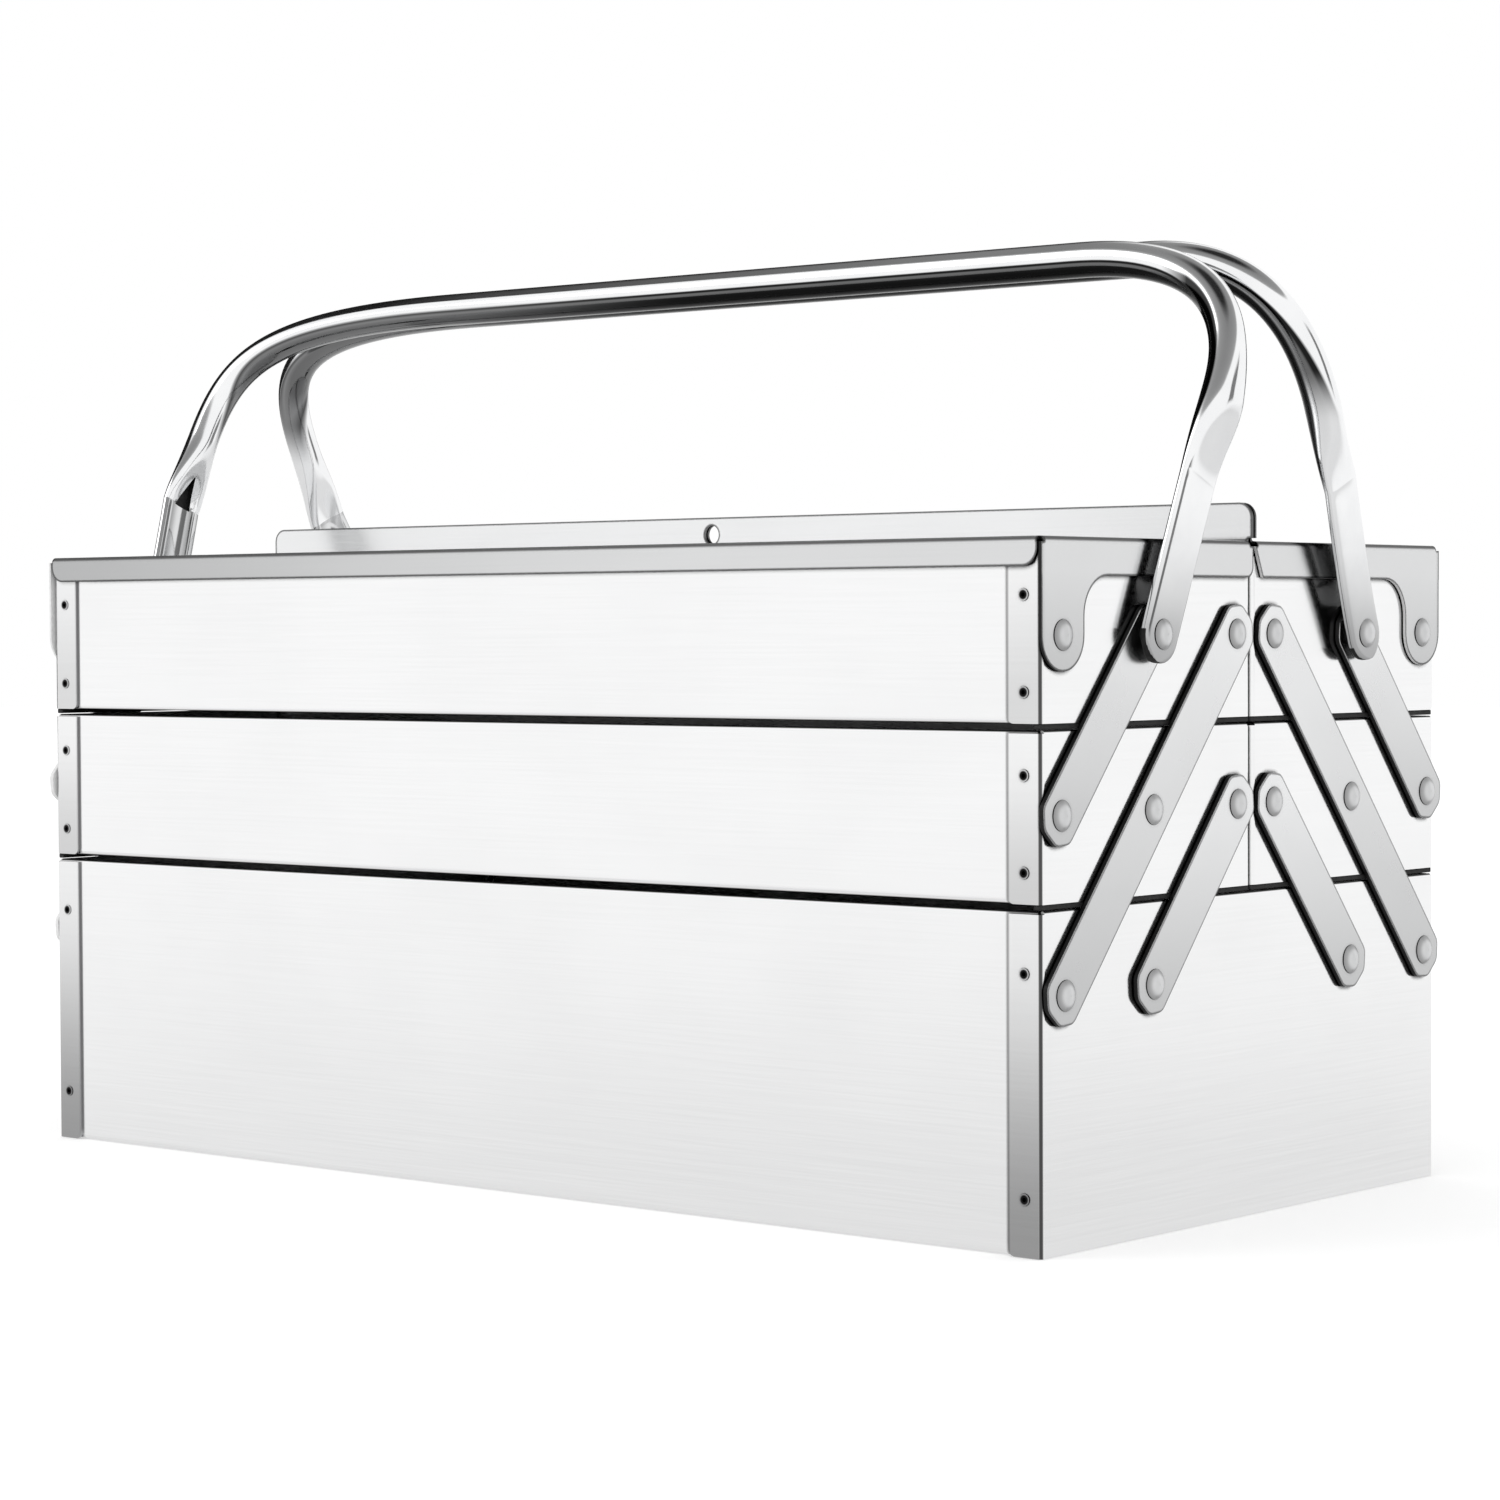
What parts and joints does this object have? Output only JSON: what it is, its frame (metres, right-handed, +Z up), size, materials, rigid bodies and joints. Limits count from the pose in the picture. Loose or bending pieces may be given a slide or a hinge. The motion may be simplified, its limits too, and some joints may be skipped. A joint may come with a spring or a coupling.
{
  "type": "cantilever tool box",
  "caption": "Sheet-metal tool box whose trays swing out to front and back on parallel links, with hinged lids and folding tube handles.",
  "frame": {"origin": "middle of the bottom box's underside, on the floor", "axes": "+X along the length to the right-hand end, +Y from the front to the back, +Z up"},
  "size_m": [0.432, 0.2064, 0.281],
  "materials": {
    "panel": "bright stainless sheet, polished",
    "lid": "bright stainless sheet, polished",
    "link": "stamped stainless strip, satin",
    "rivet": "turned steel, bright domed heads",
    "corner_rivet": "dark steel tube rivets",
    "tube": "chrome-plated or mirror-polished tube"
  },
  "bodies": {
    "base": {"base_pan": "panel", "base_end_left": "panel", "base_end_right": "panel", "base_corner_rivets": "corner_rivet", "base_pivot_rivets": "rivet"},
    "front_long_links": {"front_long_link_left": "link", "front_long_link_right": "link"},
    "front_lower_links": {"front_lower_link_left": "link", "front_lower_link_right": "link"},
    "front_upper_links": {"front_upper_link_left": "link", "front_upper_link_right": "link"},
    "front_mid_tray": {"front_mid_pan": "panel", "front_mid_end_left": "panel", "front_mid_end_right": "panel", "front_mid_corner_rivets": "corner_rivet", "front_mid_pivot_rivets": "rivet"},
    "front_top_tray": {"front_top_pan": "panel", "front_top_end_left": "panel", "front_top_end_right": "panel", "front_top_corner_rivets": "corner_rivet", "front_top_pivot_rivets": "rivet", "front_lid_rivets": "rivet"},
    "front_lid": {"front_lid": "lid"},
    "front_handle": {"front_handle": "tube"},
    "back_long_links": {"back_long_link_left": "link", "back_long_link_right": "link"},
    "back_lower_links": {"back_lower_link_left": "link", "back_lower_link_right": "link"},
    "back_upper_links": {"back_upper_link_left": "link", "back_upper_link_right": "link"},
    "back_mid_tray": {"back_mid_pan": "panel", "back_mid_end_left": "panel", "back_mid_end_right": "panel", "back_mid_corner_rivets": "corner_rivet", "back_mid_pivot_rivets": "rivet"},
    "back_top_tray": {"back_top_pan": "panel", "back_top_end_left": "panel", "back_top_end_right": "panel", "back_top_corner_rivets": "corner_rivet", "back_top_pivot_rivets": "rivet", "back_lid_rivets": "rivet"},
    "back_lid": {"back_lid": "lid"},
    "back_handle": {"back_handle": "tube"}
  },
  "joints": [
    {"name": "front_long_link_pivot", "type": "hinge", "parent": "base", "child": "front_long_links", "pos_m": [0, -0.0932, 0.07], "axis": [1, 0, 0], "range_deg": [0, 81]},
    {"name": "front_mid_tray_pivot", "type": "hinge", "parent": "front_long_links", "child": "front_mid_tray", "pos_m": [0, -0.0515, 0.1182], "axis": [1, 0, 0], "range_deg": [-81, 0]},
    {"name": "front_top_tray_pivot", "type": "hinge", "parent": "front_long_links", "child": "front_top_tray", "pos_m": [0, -0.0098, 0.1664], "axis": [1, 0, 0], "range_deg": [-81, 0]},
    {"name": "front_lower_link_pivot", "type": "hinge", "parent": "base", "child": "front_lower_links", "pos_m": [0, -0.0511, 0.07], "axis": [1, 0, 0], "range_deg": [0, 81]},
    {"name": "front_upper_link_pivot", "type": "hinge", "parent": "front_mid_tray", "child": "front_upper_links", "pos_m": [0, -0.0948, 0.1182], "axis": [1, 0, 0], "range_deg": [0, 81]},
    {"name": "front_handle_pivot", "type": "hinge", "parent": "front_top_tray", "child": "front_handle", "pos_m": [0, -0.0531, 0.1664], "axis": [1, 0, 0], "range_deg": [0, 115]},
    {"name": "front_lid_pivot", "type": "hinge", "parent": "front_top_tray", "child": "front_lid", "pos_m": [0, -0.0932, 0.1664], "axis": [1, 0, 0], "range_deg": [0, 100]},
    {"name": "back_long_link_pivot", "type": "hinge", "parent": "base", "child": "back_long_links", "pos_m": [0, 0.0932, 0.07], "axis": [-1, 0, 0], "range_deg": [0, 81]},
    {"name": "back_mid_tray_pivot", "type": "hinge", "parent": "back_long_links", "child": "back_mid_tray", "pos_m": [0, 0.0515, 0.1182], "axis": [-1, 0, 0], "range_deg": [-81, 0]},
    {"name": "back_top_tray_pivot", "type": "hinge", "parent": "back_long_links", "child": "back_top_tray", "pos_m": [0, 0.0098, 0.1664], "axis": [-1, 0, 0], "range_deg": [-81, 0]},
    {"name": "back_lower_link_pivot", "type": "hinge", "parent": "base", "child": "back_lower_links", "pos_m": [0, 0.0511, 0.07], "axis": [-1, 0, 0], "range_deg": [0, 81]},
    {"name": "back_upper_link_pivot", "type": "hinge", "parent": "back_mid_tray", "child": "back_upper_links", "pos_m": [0, 0.0948, 0.1182], "axis": [-1, 0, 0], "range_deg": [0, 81]},
    {"name": "back_handle_pivot", "type": "hinge", "parent": "back_top_tray", "child": "back_handle", "pos_m": [0, 0.0531, 0.1664], "axis": [-1, 0, 0], "range_deg": [0, 115]},
    {"name": "back_lid_pivot", "type": "hinge", "parent": "back_top_tray", "child": "back_lid", "pos_m": [0, 0.0932, 0.1664], "axis": [-1, 0, 0], "range_deg": [0, 100]}
  ],
  "couplings": [
    {"joint": "front_mid_tray_pivot", "follows": "front_long_link_pivot", "ratio": -1},
    {"joint": "front_top_tray_pivot", "follows": "front_long_link_pivot", "ratio": -1},
    {"joint": "front_lower_link_pivot", "follows": "front_long_link_pivot", "ratio": 1},
    {"joint": "front_upper_link_pivot", "follows": "front_long_link_pivot", "ratio": 1},
    {"joint": "back_mid_tray_pivot", "follows": "back_long_link_pivot", "ratio": -1},
    {"joint": "back_top_tray_pivot", "follows": "back_long_link_pivot", "ratio": -1},
    {"joint": "back_lower_link_pivot", "follows": "back_long_link_pivot", "ratio": 1},
    {"joint": "back_upper_link_pivot", "follows": "back_long_link_pivot", "ratio": 1}
  ]
}
